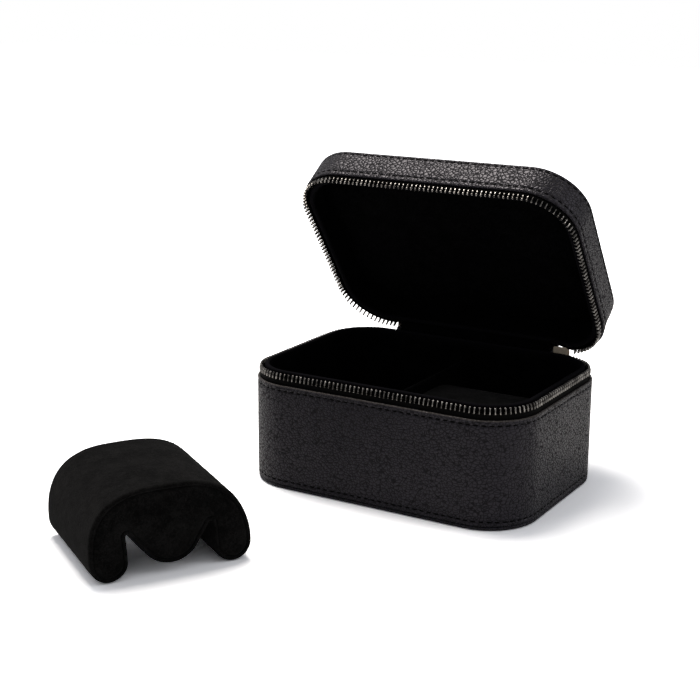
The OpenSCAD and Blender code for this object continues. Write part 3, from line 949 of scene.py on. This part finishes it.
def makeHingeStrip(name, node, strip, material):
    low, high = (corner * 1000 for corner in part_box(node))
    y, lidY = strip["y"], strip["y"] + strip["lidShift"]
    below, above = strip["laps"]
    course = hingeCourse(
        Vector((y, baseTop - below)), Vector((y, baseTop)), swung(lidY, lidEdge),
        swung(lidY, lidEdge + above), walls["zipGap"] * strip["pull"],
    )
    near, far = [], []
    for index, (spot, way) in enumerate(course):
        aside = Vector((way.y, -way.x)).normalized()
        thin = strip["thickness"] / 2 * (hinge["thinEnd"] if index in (0, len(course) - 1) else 1)
        near.append(spot + aside * thin)
        far.append(spot - aside * thin)
    section = [(low.x, spot.x, spot.y) for spot in near + far[::-1]]
    bm = drawAlong(section, (high.x - low.x, 0, 0), hinge["acrossSteps"])
    piece = finishPiece(name, bm, material, None, [node])
    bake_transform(piece)


makeHingeStrip("hingeLeather", "hinge_leather", outerStrip, leather)
makeHingeStrip("hingeLining", "hinge_lining", innerStrip, lining)
print("hinge made")

# slider and pull
slider = {
    "plate": 0.55,
    "backPlate": 0.4,
    "low": 0.6,  # above the base's edge
    "show": 3.5,  # height of the inner plate above the lining's lip
    "gap": 0.2,
    "bendGap": 0.6,
    "corner": (1.3, 1.2),  # corner radius at the open and the closed side
    "archRadius": 0.7,
    "archReach": 2.4,
    "archLift": 0.55,  # above the middle of the plate
    "archBend": 1.0,
    "foot": 0.8,
    "sunk": 0.05,
    "wedgeLift": 0.3,
    "wedge": 1.6,
}
pull = {
    "length": 27,
    "width": 6.4,
    "neck": 3,
    "neckDrop": (1, 3.4),  # where the neck starts to widen and over what height
    "thickness": 0.9,
    "gap": 0.35,
    "rim": 0.15,
    "stitchInset": 0.95,
    "stitchTop": 6.5,
    "rivet": 0.95,
    "rivetDrop": 3.2,
}
sliderLow = baseTop + slider["low"]
sliderTop = lidEdge - zipLook["room"]
plateY = halfDepth - tapeMid + toothHalf + slider["gap"]
backPlateY = halfDepth - tapeMid - toothHalf - slider["bendGap"]
archY = plateY + slider["plate"] + slider["archReach"]
archZ = (sliderLow + sliderTop) / 2 + slider["archLift"]
loopInside = slider["archRadius"] + pull["gap"]


# flat shape in X and Z, from y for the given thickness towards +Y, its edges rounded
def addPlate(bm, outline, y, thickness, rounding):
    face = bm.faces.new([bm.verts.new((x, y, z)) for x, z in outline])
    far = only(BMVert, bmesh.ops.extrude_face_region(bm, geom=[face])["geom"])
    bmesh.ops.translate(bm, verts=far, vec=(0, thickness, 0))
    verts = set(far) | set(face.verts)
    edges = [e for e in bm.edges if e.verts[0] in verts and e.verts[1] in verts]
    roundEdges(bm, [e for e in edges if abs(e.verts[0].co.y - e.verts[1].co.y) < 1e-6], rounding)


# the slider's plates taper towards the closed side of the zip
def sliderOutline(low, high, narrow):
    half = zipLook["sliderLength"] / 2
    middle, tall = (low + high) / 2, (high - low) / 2
    wide, tight = slider["corner"]
    waist = (-0.4, 0.97)
    shape = arc(half - wide, high - wide, wide, 90, 0, 5) + arc(half - wide, low + wide, wide, 0, -90, 5)
    shape += [(waist[0], middle - tall * waist[1])]
    shape += arc(-half + tight, middle - tall * narrow + tight, tight, -90, -180, 5)
    shape += arc(-half + tight, middle + tall * narrow - tight, tight, 180, 90, 5)
    shape += [(waist[0], middle + tall * waist[1])]
    return [(sliderX + x, z) for x, z in shape]


# a bent wire from one foot to the other
def addArch(bm):
    reach = pull["neck"] / 2 + pull["gap"] + slider["foot"] / 2
    bend, sunk = slider["archBend"], slider["sunk"]
    wire = bmesh.ops.create_circle(bm, segments=10, radius=slider["archRadius"] * 0.9)["verts"]
    bmesh.ops.rotate(bm, verts=wire, matrix=Matrix.Rotation(quarter, 3, "X"))
    bmesh.ops.translate(bm, verts=wire, vec=(sliderX - reach, plateY + slider["plate"] - sunk, archZ))
    geom = wire + list({edge for vert in wire for edge in vert.link_edges})
    out = slider["archReach"] - bend + sunk
    across = 2 * (reach - bend)
    geom = carry(bm, geom, 2, (0, out / 2, 0))
    geom = carry(bm, geom, 6, centre=(sliderX - reach + bend, archY - bend, archZ), angle=-quarter)
    geom = carry(bm, geom, 4, (across / 4, 0, 0))
    geom = carry(bm, geom, 6, centre=(sliderX + reach - bend, archY - bend, archZ), angle=-quarter)
    carry(bm, geom, 2, (0, -out / 2, 0))


def makeSlider():
    bm = bmesh.new()
    addPlate(bm, sliderOutline(sliderLow, sliderTop, 0.62), plateY, slider["plate"], 0.2)
    inner = sliderOutline(sliderLow, liningLook["baseLip"] + slider["show"], 0.96)
    addPlate(bm, inner, backPlateY - slider["backPlate"], slider["backPlate"], 0.16)
    low = toothTip + slider["wedgeLift"]
    high = low + slider["wedge"]
    wedge = [(sliderX + x, z) for x, z in ((-2.2, low), (-1.2, high), (2, high), (3, low))]
    addPlate(bm, wedge, backPlateY, plateY - backPlateY, 0.15)
    faceOutward(bm)
    addArch(bm)
    faceOutward(bm)
    finishPiece("zipSlider", bm, sliderMetal, "zip_slider", ["zip_slider"])


def pullOutline():
    neck, half = pull["neck"] / 2, pull["width"] / 2
    top = archZ - slider["archRadius"] - pull["gap"] - pull["thickness"] * 0.3
    low = archZ - pull["length"]
    start, over = pull["neckDrop"]
    wide = top - start - over
    right = [(neck, top), (neck, top - start)]
    right += [
        (neck + (half - neck) * smooth(share), top - start - over * share)
        for share in (0.2, 0.4, 0.6, 0.8, 1)
    ]
    right += [(half, wide - (wide - low - half) * share) for share in (0.35, 0.7)]
    end = arc(0, low + half, half, 0, -180, 14)
    left = [(-x, z) for x, z in reversed(right)]
    return [(sliderX + x, z) for x, z in right + end + left]


# two leather faces below a loop round the arch
def makePullTab():
    bm = bmesh.new()
    thick, neck, rim = pull["thickness"], pull["neck"] / 2, pull["rim"]
    for y in (archY - thick, archY + thick * 0.02):
        addPlate(bm, pullOutline(), y, thick * 0.98, 0.28)
    outside = loopInside + thick
    section = [
        (-neck, loopInside + rim), (-neck + rim, loopInside), (neck - rim, loopInside),
        (neck, loopInside + rim), (neck, outside - rim), (neck - rim, outside), (rim - neck, outside),
        (-neck, outside - rim),
    ]
    verts, edges = addLine(bm, [(sliderX + x, archY, archZ - out) for x, out in section])
    middle = (sliderX, archY, archZ)
    carry(bm, verts + edges, 32, centre=middle, angle=2 * pi, axis=(1, 0, 0), use_merge=True)
    faceOutward(bm)
    finishPiece("pullTab", bm, pullLeather, "zip_pull", ["zip_pull_tab"])


# one row of stitches down the left side, round the end and up the right, on both faces
def makePullStitches():
    stitch = makeStitch(1.5, 0.16)
    bm = bmesh.new()
    half = pull["width"] / 2 - pull["stitchInset"]
    low = archZ - pull["length"] + pull["width"] / 2
    high = archZ - pull["stitchTop"]
    straight, bend = 6, 5
    spots = [(-half, low + (high - low) * (i + 0.5) / straight, quarter) for i in range(straight)]
    spots += [(half, z, turn) for _, z, turn in spots]
    for angle in (pi * (i + 0.5) / bend for i in range(bend)):
        spots.append((-half * cos(angle), low - half * sin(angle), quarter + angle))
    for x, z, turn in spots:
        for side in (1, -1):
            y = archY + side * (pull["thickness"] + 0.02)
            flat = Matrix.Rotation(turn, 4, "Y") @ Matrix.Scale(side, 4, (0, 1, 0))
            addCopy(bm, stitch, Matrix.Translation((sliderX + x, y, z)) @ flat)
    bpy.data.meshes.remove(stitch)
    faceOutward(bm)
    finishPiece("pullStitches", bm, thread, "zip_pull", sharp=60)


# half of the rivet's section, from the middle of its head: share of its radius, height
rivetHead = ((0, 0.43), (0.8, 0.4), (1.35, 0.28), (1.75, 0.08), (1.8, 0))


def makePullRivet():
    bm = bmesh.new()
    thick = pull["thickness"]
    z = archZ - loopInside - thick - pull["rivetDrop"]
    half = [(pull["rivet"] * out, thick + lift) for out, lift in rivetHead]
    shape = half + [(out, -y) for out, y in reversed(half)]
    verts, edges = addLine(bm, [(sliderX + out, archY + y, z) for out, y in shape], closed=False)
    middle = (sliderX, archY, z)
    carry(bm, verts + edges, 28, centre=middle, angle=2 * pi, axis=(0, 1, 0), use_merge=True)
    bmesh.ops.remove_doubles(bm, verts=bm.verts, dist=sweep["weld"])
    faceOutward(bm)
    finishPiece("pullRivet", bm, gunmetal, "zip_pull", ["zip_pull_rivet"])


makeSlider()
makePullTab()
makePullStitches()
makePullRivet()
print("slider and pull made")

# cushions
cushion = {
    "width": 77.2,
    "height": 42.4,
    "length": 68.4,
    "shoulder": 9.3,
    "notch": 20.6,
    "belly": 19.3,
    "face": 8.5,
    "legMid": 0.77,  # this and the next two are shares of half the width
    "legFace": 0.529,
    "bellyRadius": 0.386,
    "slope": 56,  # degrees
    "endProud": 0.4,
    "seam": 2.25,
    "bodyRings": 26,
    "grid": 4.0,
    "cap": 0.7,  # the furthest that a point may swell
    "lean": 2.2,  # how far the loose cushion's near end leans to its right
}
halfCushion = cushion["width"] / 2


# right half of the cushion's outline, d inside the real one, from the top to the belly
def cushionHalf(d):
    shoulder, notchZ, bellyZ, faceZ = (cushion[key] for key in ("shoulder", "notch", "belly", "face"))
    legMid, legFace, bellyR = (cushion[key] * halfCushion for key in ("legMid", "legFace", "bellyRadius"))
    slope = radians(cushion["slope"])
    notchR = legFace * sin(slope) - (notchZ - bellyZ) * cos(slope) - bellyR
    notchR /= 1 + sin(slope)
    crown = cushion["height"] - shoulder - d
    top = [
        ((halfCushion - d) * max(cos(a), 0) ** (2 / 3), shoulder + crown * sin(a) ** (2 / 2.35))
        for a in (quarter * (1 - step / 20) for step in range(21))
    ]
    outer = arc(legMid, shoulder, halfCushion - d - legMid, 0, 90, 7, d - shoulder)[1:]
    inner = arc(legMid, faceZ, d + legFace - legMid, 90, 0, 7, d - faceZ)[1:]
    notch = arc(legFace - notchR, notchZ, notchR + d, 0, 146, 10)[1:]
    belly = arc(0, bellyZ, bellyR - d, -34, -90, 10)[1:]
    return top + outer + inner + notch + belly


def cushionOutline(d):
    half = cushionHalf(d)
    return half + [(-y, z) for y, z in reversed(half[1:-1])]


# one end: how far inside the outline, and how far in from the end's face
cushionEnd = (
    (0, 1.6), (0.12, 1.0), (0.45, 0.42), (1.05, 0.08), (1.6, 0.12), (2.05, 0.55), (2.25, 0.95),
    (2.45, 0.6), (2.9, 0.12), (3.8, -0.15), (5.2, -0.3),
)


# extrudes a closed loop of verts and sets the new loop's places
def extendRing(bm, ring, points):
    edges = [bm.edges.get(pair) for pair in zip(ring, ring[1:] + ring[:1])]
    fresh = set(only(BMVert, bmesh.ops.extrude_edge_only(bm, edges=edges)["geom"]))
    after = [next(e.other_vert(v) for e in v.link_edges if e.other_vert(v) in fresh) for v in ring]
    for vert, point in zip(after, points):
        vert.co = point
    return after


# closes a ring with a face cut into a grid, so that it can swell
def closeRing(bm, ring):
    faces = [bm.faces.new(ring)]
    for axis, low, high in ((1, -halfCushion, halfCushion), (2, 0, cushion["height"])):
        for step in range(1, round((high - low) / cushion["grid"])):
            place, normal = [ring[0].co.x, 0, 0], [0, 0, 0]
            place[axis] = low + step * cushion["grid"]
            normal[axis] = 1
            edges = list({edge for face in faces for edge in face.edges})
            verts = list({vert for face in faces for vert in face.verts})
            cut = bmesh.ops.bisect_plane(
                bm, geom=verts + edges + faces, plane_co=place, plane_no=normal, dist=0.05
            )["geom"]
            faces = only(BMFace, cut)


# the cushion as it is cut, its length along X, and the numbers of its seam verts
def cutCushion():
    length, steps, endIn = cushion["length"], cushion["bodyRings"], cushionEnd[0][1]
    body = [(0, endIn + (length - 2 * endIn) * step / steps) for step in range(1, steps)]
    rings = list(reversed(cushionEnd)) + body + [(d, length - u) for d, u in cushionEnd]
    bm = bmesh.new()
    ring, seams = None, []
    for d, along in rings:
        points = [Vector((along, y, z)) for y, z in cushionOutline(d)]
        if ring is None:
            ring, _ = addLine(bm, points)
            first = ring
        else:
            ring = extendRing(bm, ring, points)
        if d == cushion["seam"]:
            seams.append(ring)
    closeRing(bm, first)
    closeRing(bm, ring)
    faceOutward(bm)
    bm.verts.index_update()
    return bm, [[vert.index for vert in ring] for ring in seams]


swelling = {
    "quality": 6,
    "mass": 0.004,
    "tension_stiffness": 8,
    "compression_stiffness": 8,
    "bending_stiffness": 0.2,
    "vertex_group_mass": "seams",
    "use_pressure": True,
    "uniform_pressure_force": 4.0,
}
swellFrames = 20


# lets the cut cushion swell as cloth under pressure, its seams held
def swellCushion():
    bm, seams = cutCushion()
    bmesh.ops.scale(bm, verts=bm.verts, vec=(0.001, 0.001, 0.001))
    faceOutward(bm)
    mesh = toMesh(bm, "cushionCloth")
    start = [vert.co * 1000 for vert in mesh.vertices]
    thing = addThing("cushionCloth", mesh)
    held = thing.vertex_groups.new(name="seams")
    held.add([index for ring in seams for index in ring], 1, "REPLACE")
    cloth = thing.modifiers.new("swelling", "CLOTH")
    for key, value in swelling.items():
        setattr(cloth.settings, key, value)
    cloth.settings.effector_weights.gravity = 0
    cloth.collision_settings.use_collision = False
    cloth.point_cache.frame_end = swellFrames
    for frameNumber in range(1, swellFrames + 1):
        scene.frame_set(frameNumber)
    shown = thing.evaluated_get(bpy.context.evaluated_depsgraph_get())
    for vert, swollen, before in zip(mesh.vertices, shown.data.vertices, start):
        move = swollen.co * 1000 - before
        move -= 0.8 * min(move.dot(vert.normal), 0) * vert.normal
        if move.length > cushion["cap"]:
            move *= cushion["cap"] / move.length
        spot = before + move
        crease = noise.noise(spot / 11) + 0.5 * noise.noise(spot / 4)
        vert.co = (spot + vert.normal * 0.13 * crease) / 1000
    bpy.data.objects.remove(thing)
    scene.frame_set(1)
    return mesh, seams


# stitches lying in a cushion's seam
def sewRing(bm, stitch, spots, matrix, inward):
    pitch, sunk = 2.8, 0.15
    left = pitch / 2
    for here, after in zip(spots, spots[1:] + spots[:1]):
        way = after - here
        along, down = way.normalized(), Vector((-inward, 0, 0))
        axes = Matrix((along, down, along.cross(down))).transposed().to_4x4()
        while left < way.length:
            spot = here + way * (left / way.length)
            spot.x -= inward * sunk
            addCopy(bm, stitch, matrix @ Matrix.Translation(spot) @ axes)
            left += pitch
        left -= way.length


looseCushion = {"x": -34.5, "y": -173.1, "turn": 147.5}


def placeCushions():
    mesh, seams = swellCushion()
    length = cushion["length"]
    low, high = (corner * 1000 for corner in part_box("seated_cushion_wrap"))
    squeeze = Matrix.Scale((high.x - low.x) / length, 4, (1, 0, 0))
    seatedAt = Matrix.Translation((low.x, 0, low.z)) @ squeeze
    turn = Matrix.Rotation(radians(looseCushion["turn"]), 4, "Z")
    shift = Matrix.Translation((cushion["endProud"], 0, 0))
    looseAt = Matrix.Translation((looseCushion["x"], looseCushion["y"], 0)) @ turn @ shift
    stitch = makeStitch(1.7, 0.17)
    places = (("seated", seatedAt, ("left", "right")), ("loose", looseAt, ("near", "far")))
    for label, matrix, ends in places:
        bm = bmesh.new()
        bm.from_mesh(mesh)
        bmesh.ops.scale(bm, verts=bm.verts, vec=(1000, 1000, 1000))
        for vert in bm.verts:
            vert.co.z = max(vert.co.z, 0.02)
            vert.co.x = min(max(vert.co.x, -0.45), length + 0.45)
            if label == "loose":
                vert.co.y += cushion["lean"] * smooth((vert.co.z - 5) / 34) * (1 - 0.5 * vert.co.x / length)
        bm.verts.ensure_lookup_table()
        sewn = bmesh.new()
        for ring in seams:
            spots = [bm.verts[index].co.copy() for index in ring]
            sewRing(sewn, stitch, spots, matrix, 1 if spots[0].x < length / 2 else -1)
        bm.transform(matrix)
        body = f"{label}_cushion"
        nodes = [f"{body}_{part}" for part in ("core", "wrap", "end_" + ends[0], "end_" + ends[1])]
        piece = finishPiece(f"{label}Cushion", bm, cushionSuede, body, nodes, sharp=80)
        rounding = piece.modifiers.new("rounding", "SUBSURF")
        rounding.levels = rounding.render_levels = 1
        finishPiece(f"{label}CushionStitches", sewn, thread, body, sharp=60)
    bpy.data.meshes.remove(stitch)
    bpy.data.meshes.remove(mesh)


placeCushions()
print("cushions made")

# floor, backdrop and light
studio = {
    "ambient": 0.38,
    "reflected": 0.36,
    "floor": (0.8, 0.8, 0.8),
    "floorSeen": (1.73, 1.75, 1.83),
    "floorSize": 3,
    "floorDrop": 0.0002,
    "fade": (0.35, 0.7),  # the floor turns white between these distances, in metres
}
white = (1, 1, 1)


def makeWorld():
    world = bpy.data.worlds.new("studio")
    scene.world = world
    world.use_nodes = True
    tree = world.node_tree
    back = tree.nodes["Background"].inputs
    rays = addNode(tree, "LightPath").outputs
    ambient = studio["ambient"]
    shown = times(rays["Is Camera Ray"], 1 - ambient)
    mirrored = times(rays["Is Glossy Ray"], studio["reflected"] - ambient)
    back["Color"].default_value = (*white, 1)
    tree.links.new(plus(plus(shown, mirrored), ambient), back["Strength"])


def makeFloor():
    bm = bmesh.new()
    bmesh.ops.create_grid(bm, x_segments=8, y_segments=8, size=studio["floorSize"])
    mesh = toMesh(bm, "studioFloor")
    floor = addThing("studioFloor", mesh)
    floor.location.z = -studio["floorDrop"]
    material = newMaterial("floorWhite", {"Roughness": 1.0, "Specular IOR Level": 0.0})
    mesh.materials.append(material)
    tree = material.node_tree
    seen = addNode(tree, "LightPath").outputs["Is Camera Ray"]
    dressShader(material, blendColours(seen, studio["floor"], studio["floorSeen"]))
    away = vectorMath("LENGTH", placeIn(material))["Value"]
    strength = times(remap(away, *studio["fade"]), seen)
    glow = addNode(tree, "Emission", {"Color": (*white, 1), "Strength": strength})
    plain = tree.nodes["Principled BSDF"].outputs[0]
    both = addNode(tree, "AddShader", {0: plain, 1: glow.outputs[0]})
    tree.links.new(both.outputs[0], tree.nodes["Material Output"].inputs["Surface"])


lamps = {
    "key": {
        "at": (-0.3, 0.14, 1.05), "to": (0, -0.03, 0), "size": (0.55, 0.55), "watts": 10.5,
        "colour": (1.0, 0.95, 0.87),
    },
    "left": {
        "at": (-1.0, 0.05, 0.4), "to": (0, -0.05, 0.03), "size": (0.4, 0.6), "watts": 1.8,
        "colour": white,
    },
    "right": {
        "at": (1.0, 0.35, 0.5), "to": (0, 0, 0.05), "size": (0.4, 0.7), "watts": 1.6,
        "colour": white,
    },
}


def makeLamps():
    for name, lamp in lamps.items():
        light = bpy.data.lights.new(name, "AREA")
        light.shape = "RECTANGLE"
        light.size, light.size_y = lamp["size"]
        light.energy = lamp["watts"]
        light.color = lamp["colour"]
        thing = addThing(name, light)
        thing.location = lamp["at"]
        way = Vector(lamp["to"]) - Vector(lamp["at"])
        thing.rotation_euler = way.to_track_quat("-Z", "Y").to_euler()


makeWorld()
makeFloor()
makeLamps()
scene.view_settings.view_transform = "Standard"
print("studio made")

for name in ("base_board_wall", "base_floor_board", "divider_board", "lid_board_wall", "lid_top_board"):
    materials = frame["nodes"][name].data.materials
    materials.clear()
    materials.append(greyBoard)
